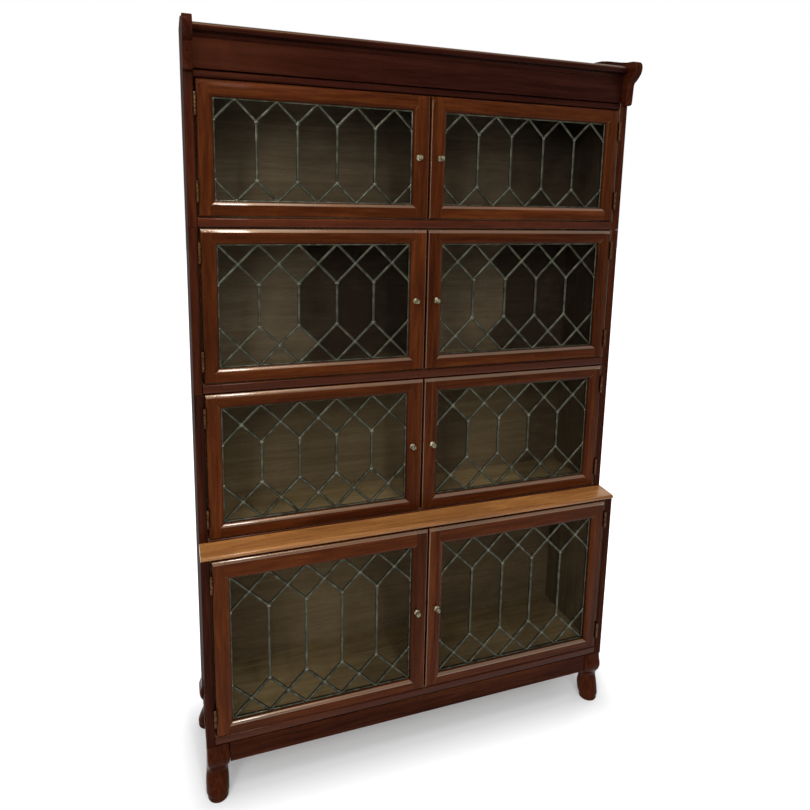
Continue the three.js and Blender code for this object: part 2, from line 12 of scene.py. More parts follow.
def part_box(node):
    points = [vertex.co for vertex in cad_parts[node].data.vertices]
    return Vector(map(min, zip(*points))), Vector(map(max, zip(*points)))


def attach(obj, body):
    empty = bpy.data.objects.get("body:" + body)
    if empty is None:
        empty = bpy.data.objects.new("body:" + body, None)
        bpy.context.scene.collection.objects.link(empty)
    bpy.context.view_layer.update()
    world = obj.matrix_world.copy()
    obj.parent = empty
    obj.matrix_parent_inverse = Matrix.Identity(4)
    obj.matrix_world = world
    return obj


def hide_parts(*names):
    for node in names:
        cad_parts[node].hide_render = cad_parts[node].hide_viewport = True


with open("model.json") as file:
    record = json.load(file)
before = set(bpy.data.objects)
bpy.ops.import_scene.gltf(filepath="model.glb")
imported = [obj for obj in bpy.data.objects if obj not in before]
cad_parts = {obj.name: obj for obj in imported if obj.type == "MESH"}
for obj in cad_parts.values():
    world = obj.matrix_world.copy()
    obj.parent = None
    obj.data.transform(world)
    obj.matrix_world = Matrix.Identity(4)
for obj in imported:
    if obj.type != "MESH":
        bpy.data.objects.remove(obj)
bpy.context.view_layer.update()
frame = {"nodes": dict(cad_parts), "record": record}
NODES = frame["nodes"]
BODY_OF = {n: b for b, members in frame["record"]["behaviour"]["bodies"].items() for n in members}
SLOT_OF = {s["node"]: s["material_slot"] for s in frame["record"]["subparts"]}
TIERS = ("lower", "middle", "upper", "top")
SIDES = ("left", "right")
MM = 0.001
X, Y, Z = 0, 1, 2

scene = bpy.context.scene
scene.view_settings.view_transform = "Standard"


# ------------------------------------------------------------------ camera
CAMERA_PLACE = (-0.47765, -1.25379, 1.15124)
CAMERA_TURN = (80.3513, -1.1262, -19.4300)
CAMERA_SENSOR, CAMERA_LENS = 36, 29.187
CAMERA_SHIFT = (0.00425, -0.11324)
CAMERA_CLIP = 0.05

camera_data = bpy.data.cameras.new("camera")
camera = bpy.data.objects.new("camera", camera_data)
scene.collection.objects.link(camera)
camera.location = CAMERA_PLACE
camera.rotation_euler = [math.radians(a) for a in CAMERA_TURN]
camera_data.sensor_width = CAMERA_SENSOR
camera_data.lens = CAMERA_LENS
camera_data.shift_x, camera_data.shift_y = CAMERA_SHIFT
camera_data.clip_start = CAMERA_CLIP
scene.camera = camera


# ------------------------------------------------------------------ node helpers
class Graph:
    """A material's or world's node tree, with short calls to add and join nodes."""

    def __init__(self, tree):
        self.tree = tree
        tree.nodes.clear()

    def add(self, kind, inputs=(), **settings):
        node = self.tree.nodes.new(kind)
        for key, value in settings.items():
            setattr(node, key, value)
        for key, value in dict(inputs).items():
            self.feed(node.inputs[key], value)
        return node

    def feed(self, socket, value):
        if isinstance(value, bpy.types.NodeSocket):
            self.tree.links.new(value, socket)
        elif isinstance(value, bpy.types.Node):
            self.tree.links.new(value.outputs[0], socket)
        else:
            socket.default_value = value

    def math(self, operation, *values):
        node = self.add("ShaderNodeMath", operation=operation)
        for socket, value in zip(node.inputs, values):
            self.feed(socket, value)
        return node.outputs[0]

    def vector(self, operation, *values):
        node = self.add("ShaderNodeVectorMath", operation=operation)
        for socket, value in zip(node.inputs, values):
            self.feed(socket, value)
        return node.outputs[0]

    def noise(self, place, scale, detail=3.0, roughness=0.5, distortion=0.0):
        inputs = {"Vector": place, "Scale": scale, "Detail": detail, "Roughness": roughness,
                  "Distortion": distortion}
        return self.add("ShaderNodeTexNoise", inputs).outputs["Fac"]

    def spread(self, value, low, high, to_low=0.0, to_high=1.0):
        inputs = {"Value": value, "From Min": low, "From Max": high, "To Min": to_low, "To Max": to_high}
        return self.add("ShaderNodeMapRange", inputs).outputs[0]

    def mix(self, factor, a, b):
        node = self.add("ShaderNodeMix", data_type="RGBA")
        self.feed(node.inputs["Factor"], factor)
        self.feed(node.inputs[6], a)
        self.feed(node.inputs[7], b)
        return node.outputs[2]

    def ramp(self, factor, stops):
        """A colour ramp from (place, colour) stops, of which the first two are its ends."""
        node = self.add("ShaderNodeValToRGB", {"Fac": factor})
        elements = node.color_ramp.elements
        for place, colour in stops[:2]:
            index = 0 if place == stops[0][0] else 1
            elements[index].position = place
            elements[index].color = (*colour, 1)
        for place, colour in stops[2:]:
            elements.new(place).color = (*colour, 1)
        return node.outputs[0]


def material(name):
    """A new material and the graph of its empty node tree."""
    made = bpy.data.materials.new(name)
    made.use_nodes = True
    return made, Graph(made.node_tree)


def plain_rays(g):
    """1 for rays that should see the white background: camera, mirror and glass rays."""
    path = g.add("ShaderNodeLightPath")
    seen = g.math("MAXIMUM", path.outputs["Is Camera Ray"], path.outputs["Is Glossy Ray"])
    return g.math("MAXIMUM", seen, path.outputs["Is Transmission Ray"])


# ------------------------------------------------------------------ world, floor, lamps
AMBIENT_COLOUR, AMBIENT = (0.96, 0.98, 1.0, 1), 0.42
FLOOR_REACH, FLOOR_DROP = 14.0, 0.4 * MM
FLOOR_GREY = 0.74
FOOTPRINT = (0.43, 0.10, 1)  # half sizes of the ground it stands over; the height doesn't count
# How much light of its own the floor has under the bookcase, at the first reach from there, and at the second; the
# lower glow near the bookcase is a painted shadow.
PAINTED_SHADOW_GLOW = (0.19, 0.74, 1.0)
PAINTED_SHADOW_GLOW_REACH = (0.11, 0.30)

world = bpy.data.worlds.new("studio")
scene.world = world
world.use_nodes = True
g = Graph(world.node_tree)
ambient = g.add("ShaderNodeBackground", {"Color": AMBIENT_COLOUR, "Strength": AMBIENT})
white = g.add("ShaderNodeBackground", {"Color": (1, 1, 1, 1), "Strength": 1.0})
mixed = g.add("ShaderNodeMixShader", {0: plain_rays(g), 1: ambient, 2: white})
g.add("ShaderNodeOutputWorld", {"Surface": mixed})

floor_mesh = bpy.data.meshes.new("floor")
corners = [(a * FLOOR_REACH, b * FLOOR_REACH, 0) for a, b in ((-1, -1), (1, -1), (1, 1), (-1, 1))]
floor_mesh.from_pydata(corners, [], [(0, 1, 2, 3)])
floor = bpy.data.objects.new("floor", floor_mesh)
scene.collection.objects.link(floor)
floor.location.z = -FLOOR_DROP
floor_material, g = material("pale_floor")
diffuse = g.add("ShaderNodeBsdfDiffuse", {"Color": (FLOOR_GREY, FLOOR_GREY, FLOOR_GREY, 1)})
place = g.add("ShaderNodeTexCoord").outputs["Object"]
beyond = g.vector("MAXIMUM", g.vector("SUBTRACT", g.vector("ABSOLUTE", place), FOOTPRINT), (0, 0, 0))
distance = g.vector("LENGTH", beyond).node.outputs["Value"]
# Painted shadow: the floor's glow is dimmed under and near the bookcase, fading out over the two reaches.
near_painted_shadow_glow = g.spread(distance, 0.0, PAINTED_SHADOW_GLOW_REACH[0], PAINTED_SHADOW_GLOW[0], PAINTED_SHADOW_GLOW[1])
far_painted_shadow_glow = g.spread(distance, *PAINTED_SHADOW_GLOW_REACH, 0, PAINTED_SHADOW_GLOW[2] - PAINTED_SHADOW_GLOW[1])
painted_shadow_glow = g.math("MULTIPLY", plain_rays(g), g.math("ADD", near_painted_shadow_glow, far_painted_shadow_glow))
glow = g.add("ShaderNodeEmission", {"Color": (1, 1, 1, 1), "Strength": painted_shadow_glow})
g.add("ShaderNodeOutputMaterial", {"Surface": g.add("ShaderNodeAddShader", {0: diffuse, 1: glow})})
floor_mesh.materials.append(floor_material)


def lamp(name, place, aim, size, watts):
    data = bpy.data.lights.new(name, "AREA")
    data.shape = "RECTANGLE"
    data.size, data.size_y = size
    data.energy = watts
    made = bpy.data.objects.new(name, data)
    scene.collection.objects.link(made)
    made.location = place
    made.rotation_euler = (Vector(aim) - Vector(place)).to_track_quat("-Z", "Y").to_euler()


lamp("key", (-1.4, -1.8, 1.7), (-0.1, 0, 0.75), (0.5, 0.7), 14)
lamp("ceiling", (-0.7, -1.1, 3.0), (-0.3, -0.2, 0.6), (2.0, 0.8), 22)
lamp("window", (-0.2, -2.3, 2.4), (-0.2, 0, 0.9), (1.1, 1.6), 6)
lamp("tube", (-0.16, -2.1, 2.3), (-0.3, 0, 0.9), (0.16, 1.2), 13)
lamp("fill", (2.0, 0.9, 1.5), (0.4, 0.1, 0.8), (0.8, 0.8), 5)


# ------------------------------------------------------------------ materials
GRAIN_STRETCH, PORE_STRETCH = 0.06, 0.05
WOOD_ROUGHNESS = 0.26
SHIFT_EACH = (7.3, 3.1, 5.7)  # moves the grain from piece to piece


def stretched(g, place, axis, share):
    """A place to read noise at, drawn out along the grain."""
    return g.vector("MULTIPLY", place, tuple(share if i == axis else 1.0 for i in range(3)))


def wood(name, axis, dark, middle, light, polish, coat, gleam):
    """French-polished timber: streaks, figure, pores, worn edges, and a tone and grain of its own for each piece."""
    made, g = material(name)
    place = g.add("ShaderNodeTexCoord").outputs["Object"]
    random_share = g.add("ShaderNodeObjectInfo").outputs["Random"]
    shifts = {i: g.math("MULTIPLY", random_share, shift) for i, shift in enumerate(SHIFT_EACH)}
    place = g.vector("ADD", place, g.add("ShaderNodeCombineXYZ", shifts).outputs[0])
    along = stretched(g, place, axis, GRAIN_STRETCH)
    streak = g.noise(along, 260, 5, 0.62, 0.4)
    figure = g.noise(along, 46, 3, 0.5, 1.2)
    tone = g.math("ADD", g.math("MULTIPLY", streak, 0.45), g.math("MULTIPLY", figure, 0.55))
    colour = g.ramp(tone, [(0.36, dark), (0.64, light), (0.5, middle)])
    mottle = g.spread(g.noise(place, 3.2, 2, 0.5), 0.3, 0.7, 0.82, 1.14)
    shade = g.math("MULTIPLY", mottle, g.spread(random_share, 0, 1, 0.80, 1.18))
    tinted = g.vector("SCALE", colour)
    g.feed(tinted.node.inputs["Scale"], shade)
    pores = g.noise(stretched(g, place, axis, PORE_STRETCH), 1500, 2, 0.5)
    pore_mask = g.spread(pores, 0.60, 0.68)
    colour = g.mix(g.math("MULTIPLY", pore_mask, 0.45), tinted, (*[c * 0.35 for c in dark], 1))
    worn = g.math("MULTIPLY", g.add("ShaderNodeAttribute", attribute_name="edge").outputs["Fac"],
                  g.spread(g.noise(place, 38, 4, 0.65), 0.42, 0.62))
    colour = g.mix(g.math("MULTIPLY", worn, 0.5), colour, (*[c * 1.9 for c in light], 1))
    smudge = g.noise(place, 14, 4, 0.6)
    roughness = g.spread(smudge, 0.3, 0.75, WOOD_ROUGHNESS - 0.05, WOOD_ROUGHNESS + 0.10)
    ripple = g.math("MULTIPLY", g.noise(place, 55, 2, 0.4), 0.25)
    height = g.math("SUBTRACT", ripple, g.math("MULTIPLY", pore_mask, 0.12))
    bump = g.add("ShaderNodeBump", {"Height": height, "Strength": 0.12, "Distance": 0.0006})
    shader = g.add("ShaderNodeBsdfPrincipled", {
        "Base Color": colour, "Roughness": roughness, "Normal": bump, "Specular IOR Level": polish,
        "Specular Tint": (*gleam, 1), "Coat Weight": coat, "Coat Roughness": 0.06,
    })
    g.add("ShaderNodeOutputMaterial", {"Surface": shader})
    return made


# Dark, middle and light tone of the grain, polish, weight of the clear coat, colour of the gleam.
RED_GLEAM, PALE_GLEAM = (1.0, 0.27, 0.09), (1.0, 0.60, 0.28)
FINISHES = {
    "carcass": ((0.018, 0.0030, 0.0010), (0.037, 0.0070, 0.0022), (0.062, 0.014, 0.0045), 0.2, 0.10, RED_GLEAM),
    "side": ((0.018, 0.0030, 0.0010), (0.037, 0.0070, 0.0022), (0.062, 0.014, 0.0045), 0.0, 0.05, RED_GLEAM),
    "base": ((0.020, 0.0040, 0.0018), (0.042, 0.0100, 0.0040), (0.070, 0.019, 0.0072), 0.04, 0.0, RED_GLEAM),
    # Painted reflection: the inside finish is pale, so that the lights seen through the glass look as bright as a
    # room reflected in it; it carries the inner wood's colour as well.
    "inside_with_painted_reflection": ((0.20, 0.145, 0.080), (0.27, 0.195, 0.110), (0.34, 0.25, 0.145), 0.0, 0.0, RED_GLEAM),
    # Painted shade: the frieze finish is darker than the carcass to stand for the shadow that the cornice casts
    # below it.
    "frieze": ((0.009, 0.0020, 0.0016), (0.018, 0.0042, 0.0032), (0.029, 0.0078, 0.0052), 0.1, 0.0, RED_GLEAM),
    "nosing": ((0.018, 0.0032, 0.0012), (0.036, 0.0076, 0.0026), (0.060, 0.015, 0.0050), 0.6, 0.05, PALE_GLEAM),
    "door": ((0.023, 0.0048, 0.0014), (0.052, 0.0118, 0.0028), (0.088, 0.0230, 0.0055), 0.12, 0.02, RED_GLEAM),
    "moulding": ((0.022, 0.0040, 0.0008), (0.050, 0.0110, 0.0016), (0.085, 0.021, 0.0032), 0.9, 1.0, PALE_GLEAM),
    # Painted light: the ledge's top and its rounded front are made far paler than the carcass, for the light falling
    # on them from above and a painted highlight on the nose.
    "ledge": ((0.19, 0.064, 0.017), (0.32, 0.130, 0.035), (0.46, 0.200, 0.059), 0.4, 0.30, PALE_GLEAM),
    "ledge_front_painted_light": ((0.12, 0.038, 0.009), (0.20, 0.075, 0.018), (0.29, 0.117, 0.030), 0.3, 0.35, PALE_GLEAM),
    # Painted reflection: the back finish's flat olive grey on the inner faces stands for the room reflected in the
    # glass, over the inner wood's colour.
    "back": ((0.145, 0.104, 0.066), (0.175, 0.128, 0.082), (0.210, 0.156, 0.100), 0.0, 0.0, RED_GLEAM),
    "rear": ((0.075, 0.030, 0.012), (0.125, 0.054, 0.023), (0.190, 0.088, 0.040), 0.1, 0.0, RED_GLEAM),
}
WOODS = {}


def wood_of(finish, axis):
    """The material of a finish with its grain along an axis, made once."""
    if (finish, axis) not in WOODS:
        dark, middle, light, polish, coat, gleam = FINISHES[finish]
        name = f"{finish}_grain_{'xyz'[axis]}"
        WOODS[finish, axis] = wood(name, axis, dark, middle, light, polish, coat, gleam)
    return WOODS[finish, axis]


SOLDER_TONE = (0.22, 0.22, 0.17, 1)
GLASS_IOR, GLASS_ROUGHNESS = 1.03, 0.02
GLASS_SHADOW = (0.90, 0.90, 0.86, 1)


def lead_material():
    """Dull grey lead, brighter where it is soldered."""
    made, g = material("lead_came")
    place = g.add("ShaderNodeTexCoord").outputs["Object"]
    patina = g.noise(place, 90, 5, 0.6)
    colour = g.ramp(patina, [
        (0.3, (0.016, 0.016, 0.011)), (0.74, (0.090, 0.090, 0.066)), (0.52, (0.045, 0.045, 0.032)),
    ])
    solder = g.add("ShaderNodeAttribute", attribute_name="edge").outputs["Fac"]
    colour = g.mix(g.math("MULTIPLY", solder, 0.55), colour, SOLDER_TONE)
    roughness = g.spread(patina, 0.3, 0.7, 0.42, 0.30)
    bump = g.add("ShaderNodeBump", {"Height": g.noise(place, 400, 3, 0.6), "Strength": 0.12, "Distance": 0.0003})
    shader = g.add("ShaderNodeBsdfPrincipled", {
        "Base Color": colour, "Roughness": roughness, "Normal": bump, "Metallic": 1.0,
    })
    g.add("ShaderNodeOutputMaterial", {"Surface": shader})
    return made


def brass_material(name, dark, middle, light):
    """Brass with a blotched patina from dark to light."""
    made, g = material(name)
    place = g.add("ShaderNodeTexCoord").outputs["Object"]
    patina = g.noise(place, 240, 4, 0.6)
    colour = g.ramp(patina, [(0.32, dark), (0.7, light), (0.5, middle)])
    roughness = g.spread(patina, 0.3, 0.7, 0.50, 0.26)
    shader = g.add("ShaderNodeBsdfPrincipled", {"Base Color": colour, "Roughness": roughness, "Metallic": 1.0})
    g.add("ShaderNodeOutputMaterial", {"Surface": shader})
    return made


def glass_material(name, deep, pale):
    """Old drawn glass: slightly wavy, each light of its own tint between the deep and the pale one; the tints carry
    painted reflection as well as the glass's own colour.
    """
    made, g = material(name)
    place = g.add("ShaderNodeTexCoord").outputs["Object"]
    bump = g.add("ShaderNodeBump", {"Height": g.noise(place, 12, 1, 0.4), "Strength": 0.05, "Distance": 0.001})
    # each: the light's paleness, partly the glass's own tint and partly painted reflection.
    each = g.add("ShaderNodeAttribute", attribute_name="edge").outputs["Fac"]
    smear = g.spread(g.noise(place, 9, 4, 0.6), 0.3, 0.7, -0.14, 0.14)
    tint = g.mix(g.math("ADD", each, smear), (*deep, 1), (*pale, 1))
    shader = g.add("ShaderNodeBsdfPrincipled", {
        "Base Color": tint, "Roughness": GLASS_ROUGHNESS, "IOR": GLASS_IOR, "Transmission Weight": 1.0,
        "Normal": bump,
    })
    clear = g.add("ShaderNodeBsdfTransparent", {"Color": GLASS_SHADOW})
    path = g.add("ShaderNodeLightPath")
    passing = g.math("MAXIMUM", path.outputs["Is Shadow Ray"], path.outputs["Is Diffuse Ray"])
    mixed = g.add("ShaderNodeMixShader", {0: passing, 1: shader, 2: clear})
    g.add("ShaderNodeOutputMaterial", {"Surface": mixed})
    return made


LEAD = lead_material()
KNOB_BRASS = brass_material("worn_knob_brass", (0.035, 0.028, 0.016), (0.15, 0.13, 0.080), (0.34, 0.31, 0.21))
HINGE_BRASS = brass_material("aged_hinge_brass", (0.022, 0.009, 0.004), (0.050, 0.025, 0.011), (0.110, 0.062, 0.027))
# The deep and pale tints of each glass carry painted reflection besides the glass's own colour.
COOL_GLASS = glass_material("cool_glass", (0.20, 0.19, 0.21), (0.93, 0.97, 1.0))
WARM_GLASS = glass_material("warm_glass", (0.32, 0.30, 0.29), (1.0, 0.99, 0.88))
GLASS = {"lower": WARM_GLASS, "middle": WARM_GLASS, "upper": COOL_GLASS, "top": COOL_GLASS}
# How pale the glass is from the left of each door to its right. The pattern stands for the room reflected in the
# glass, painted reflection, besides the uneven tint of old glass.
PALENESS = {
    ("top", "left"): (0.9, 0.9, 0.75, 0.65, 0.6), ("top", "right"): (0.8, 0.65, 0.4, 0.2, 0.15),
    ("upper", "left"): (1.0, 0.95, 0.05, 0.0, 0.05), ("upper", "right"): (0.9, 0.75, 0.1, 0.0, 0.1),
    ("middle", "left"): (1.0, 0.8, 0.75, 1.0, 1.0), ("middle", "right"): (0.4, 1.0, 0.8, 0.3, 0.25),
    ("lower", "left"): (1.0, 1.0, 1.0, 0.7, 0.5), ("lower", "right"): (0.45, 0.5, 0.5, 0.5, 0.7),
}


# ------------------------------------------------------------------ mesh helpers
WELD = 2e-6
FLAT_ANGLE, SHARP_ANGLE = 0.5, 40


def new_object(name, mesh):
    made = bpy.data.objects.new(name, mesh)
    scene.collection.objects.link(made)
    return made


def mesh_of(name, points, faces):
    mesh = bpy.data.meshes.new(name)
    mesh.from_pydata([tuple(p) for p in points], [], faces)
    mesh.update()
    return mesh


def smooth(mesh, over=SHARP_ANGLE):
    """Shades a mesh smooth but for the edges that turn by more than the angle."""
    mesh.shade_smooth()
    mesh.set_sharp_from_angle(angle=math.radians(over))
    return mesh


def soften(mesh, width):
    """Welds a mesh, joins its coplanar faces, rounds its sharp edges and marks the rounded faces as worn."""
    bm = bmesh.new()
    bm.from_mesh(mesh)
    bmesh.ops.remove_doubles(bm, verts=bm.verts, dist=WELD)
    bmesh.ops.dissolve_limit(bm, angle_limit=math.radians(FLAT_ANGLE), verts=bm.verts, edges=bm.edges)
    bmesh.ops.recalc_face_normals(bm, faces=bm.faces)
    limit = math.radians(SHARP_ANGLE)
    sharp = [e for e in bm.edges if len(e.link_faces) == 2 and e.calc_face_angle(0) > limit]
    layer = bm.faces.layers.float.new("edge")
    if sharp:
        result = bmesh.ops.bevel(bm, geom=sharp, offset=width, offset_type="OFFSET", segments=2, profile=0.5,
                                 affect="EDGES", clamp_overlap=True)
        for face in result["faces"]:
            face[layer] = 1.0
    bm.to_mesh(mesh)
    bm.free()
    return smooth(mesh)


def weighted(piece):
    """Keeps flat faces looking flat beside their rounded edges."""
    modifier = piece.modifiers.new("even_shading", "WEIGHTED_NORMAL")
    modifier.keep_sharp = True
    modifier.weight = 60
    return piece


def boolean(mesh, cutter, operation):
    """The mesh left by one exact boolean of two meshes."""
    work = new_object("work", mesh)
    tool = new_object("tool", cutter)
    modifier = work.modifiers.new("cut", "BOOLEAN")
    modifier.operation = operation
    modifier.solver = "EXACT"
    modifier.object = tool
    bpy.context.view_layer.update()
    graph = bpy.context.evaluated_depsgraph_get()
    result = bpy.data.meshes.new_from_object(work.evaluated_get(graph), depsgraph=graph)
    bpy.data.objects.remove(work)
    bpy.data.objects.remove(tool)
    return result


def prism(outline, y0, y1):
    """A closed prism over an outline of (x, z) points, from y0 to y1."""
    count = len(outline)
    points = [(x, y, z) for y in (y0, y1) for x, z in outline]
    faces = [tuple(range(count)), tuple(reversed(range(count, 2 * count)))]
    faces += [(i + count, i, (i + 1) % count, (i + 1) % count + count) for i in range(count)]
    return points, faces


def box_mesh(low, high):
    outline = [(low[X], low[Z]), (high[X], low[Z]), (high[X], high[Z]), (low[X], high[Z])]
    mesh = mesh_of("box", *prism(outline, low[Y], high[Y]))
    return outward(mesh)


def outward(mesh):
    """Turns all faces of closed forms outwards."""
    bm = bmesh.new()
    bm.from_mesh(mesh)
    bmesh.ops.recalc_face_normals(bm, faces=bm.faces)
    bm.to_mesh(mesh)
    bm.free()
    return mesh


def skin_faces(rings, closed=False):
    """Faces between each ring of points and the next, and back to the first ring if closed."""
    count = len(rings[0])
    faces = []
    for r in range(len(rings) if closed else len(rings) - 1):
        following = (r + 1) % len(rings)
        for i in range(count):
            j = (i + 1) % count
            faces.append((r * count + i, r * count + j, following * count + j, following * count + i))
    return faces


def welded_copy(node):
    """A CAD node's mesh, its points joined."""
    mesh = NODES[node].data.copy()
    mesh.materials.clear()
    bm = bmesh.new()
    bm.from_mesh(mesh)
    bmesh.ops.remove_doubles(bm, verts=bm.verts, dist=WELD)
    bm.to_mesh(mesh)
    bm.free()
    return mesh


def place_piece(name, mesh, body, surface):
    """A named piece that rides on a body."""
    mesh.materials.clear()
    mesh.materials.append(surface)
    piece = new_object(name, mesh)
    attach(piece, body)
    return piece


def stand_in(name, mesh, node, surface):
    """A detailed piece that stands for a CAD node and rides on its body."""
    piece = place_piece(name, mesh, BODY_OF[node], surface)
    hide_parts(node)
    return piece


class Shell:
    """Points and faces gathered from many small closed forms."""

    def __init__(self):
        self.points, self.faces, self.bright = [], [], []

    def take(self, points, faces, bright=0.0):
        start = len(self.points)
        self.points += [tuple(p) for p in points]
        self.faces += [tuple(i + start for i in face) for face in faces]
        self.bright += [bright] * len(faces)

    def mesh(self, name, over=SHARP_ANGLE):
        """One mesh of all the forms, with their brightness in the edge attribute."""
        mesh = outward(mesh_of(name, self.points, self.faces))
        values = mesh.attributes.new("edge", "FLOAT", "FACE")
        values.data.foreach_set("value", self.bright)
        return smooth(mesh, over)


# ------------------------------------------------------------------ sizes read from the frame
CASE_HALF = abs(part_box("middle_left_side")[0].x)
UPPER_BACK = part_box("middle_left_side")[1].y
SIDE_THICKNESS = 16 * MM
HINGE_GAP = 3 * MM
PANE_EDGE = 4 * MM
PANE_SET_BACK = 11 * MM


def tier_front(tier):
    """Where the front of a case's doors lies."""
    low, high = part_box(f"{tier}_left_glass_pane")
    return (low.y + high.y) / 2 - PANE_SET_BACK


def door_box(tier):
    """x0 and x1 of the left door, its z0 and z1, and its front."""
    low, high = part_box(f"{tier}_left_door_frame")
    return -CASE_HALF + SIDE_THICKNESS + HINGE_GAP, high.x, low.z, high.z, tier_front(tier)


def sight_box(tier):
    """x0, x1, z0 and z1 of the glass seen in the left door."""
    low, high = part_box(f"{tier}_left_glass_pane")
    return low.x + PANE_EDGE, high.x - PANE_EDGE, low.z + PANE_EDGE, high.z - PANE_EDGE


LOWER_FRONT = tier_front("lower")


# ------------------------------------------------------------------ carcass boards
BOARD_ROUND = 0.6 * MM
INNER_AREA = 0.02  # square metres: only the broad inner face of a side is larger
GRAIN_RUNS = {"cornice_left_cheek": Y, "cornice_right_cheek": Y}


def grain_of(node):
    """The grain runs along a board's longest side, unless the table says otherwise."""
    low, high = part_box(node)
    size = high - low
    return GRAIN_RUNS.get(node, max((X, Y, Z), key=lambda i: size[i]))


def board(node, finish=None):
    """A CAD board with its edges eased, in its slot's finish or the one given."""
    mesh = soften(welded_copy(node), BOARD_ROUND)
    surface = wood_of(finish or SLOT_OF[node], grain_of(node))
    return weighted(stand_in(node + "_board", mesh, node, surface))


def second_finish(piece, finish, axis, chosen):
    """Gives the chosen faces of a piece another finish."""
    piece.data.materials.append(wood_of(finish, axis))
    for face in piece.data.polygons:
        if chosen(face):
            face.material_index = 1


def side_panel(tier, side):
    """The panel without the hinge leaves that its CAD node carries."""
    node = f"{tier}_{side}_side"
    low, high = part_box(node)
    sign = -1 if side == "left" else 1
    span = sorted((sign * (CASE_HALF + MM), sign * (CASE_HALF - SIDE_THICKNESS)))
    cutter = box_mesh((span[0], low.y - MM, low.z - MM), (span[1], high.y + MM, high.z + MM))
    mesh = soften(boolean(welded_copy(node), cutter, "INTERSECT"), BOARD_ROUND)
    piece = weighted(stand_in(node + "_panel", mesh, node, wood_of("side", Z)))
    # The inner face of each side takes the back finish: partly painted reflection seen through the glass.
    second_finish(piece, "back", Z, lambda face: face.normal.x * sign < -0.9 and face.area > INNER_AREA)


for tier in TIERS:
    for side in SIDES:
        side_panel(tier, side)
    # The bottom boards take the pale inside finish, partly painted reflection seen through the glass; their front
    # edges take the carcass finish.
    second_finish(board(f"{tier}_bottom_board", "inside_with_painted_reflection"), "carcass", X, lambda face: face.normal.y < -0.2)
    second_finish(board(f"{tier}_back_panel"), "rear", Z, lambda face: face.normal.y > -0.5)
# Painted light: the ledge board takes the pale ledge finish for light from above, and its front faces a finish paler
# than the carcass for a painted highlight on its nose.
ledge = board("lower_ledge_top", "ledge")
second_finish(ledge, "ledge_front_painted_light", X, lambda face: face.normal.y < -0.4)
board("cornice_back_board")
# The board above the top doors takes the darker frieze finish: painted shade under the cornice.
board("top_case_board", "frieze")
board("base_frame", "base")
board("cornice_left_cheek", "side")
board("cornice_right_cheek", "side")
# The frieze and the cornice board's lower faces take the darker frieze finish: painted shade under the nosing.
board("cornice_frieze", "frieze")
nosing = board("cornice_top_board", "frieze")
second_finish(nosing, "nosing", X, lambda face: face.normal.y < -0.2 and face.normal.z > 0.3)


# ------------------------------------------------------------------ legs
LEG_WIDTH = 43 * MM
LEG_HEIGHT = 116 * MM
LEG_SIDES = 40
LEG_RINGS = 58
LEG_CREASE = 50
# Height as a share of the leg's; how far the toe side swells out, the side behind it and the inner side are drawn
# in and the outer side swells out, in leg widths; and the power that makes the section round (2) or square.
LEG_STATIONS = (
    (0, 0.19, 0.26, 0.1, 0.0, 2), (0.043, 0.21, 0.27, 0.09, 0.01, 2), (0.069, 0.17, 0.3, 0.11, 0.0, 2),
    (0.095, 0.22, 0.16, 0.06, 0.06, 2), (0.172, 0.18, 0.07, 0.05, 0.07, 2.1), (0.26, 0.08, 0.07, 0.05, 0.07, 2.3),
    (0.345, -0.04, 0.14, 0.06, 0.06, 2.5), (0.45, -0.15, 0.23, 0.08, 0.03, 2.7),
    (0.535, -0.11, 0.16, 0.06, 0.02, 3.2), (0.6, 0.0, 0.07, 0.02, 0.01, 4), (0.68, 0.1, 0, 0, 0, 6),
    (0.78, 0.13, 0, 0, 0, 7), (0.89, 0.03, 0, 0, 0, 7), (1, 0, 0, 0, 0, 7),
)


def station_at(height):
    """The leg's shape between two stations, on a smooth curve through them."""
    last = len(LEG_STATIONS) - 1
    i = max(k for k in range(last) if LEG_STATIONS[k][0] <= height)
    p0, p1, p2, p3 = (LEG_STATIONS[min(max(k, 0), last)] for k in (i - 1, i, i + 1, i + 2))
    t = (height - p1[0]) / (p2[0] - p1[0])
    span = p2[0] - p1[0]
    values = []
    for a, b, c, d in zip(p0, p1, p2, p3):
        m1 = span * (c - a) / max(p2[0] - p0[0], 1e-9)
        m2 = span * (d - b) / max(p3[0] - p1[0], 1e-9)
        values.append((2 * t**3 - 3 * t**2 + 1) * b + (t**3 - 2 * t**2 + t) * m1
                      + (3 * t**2 - 2 * t**3) * c + (t**3 - t**2) * m2)
    return values


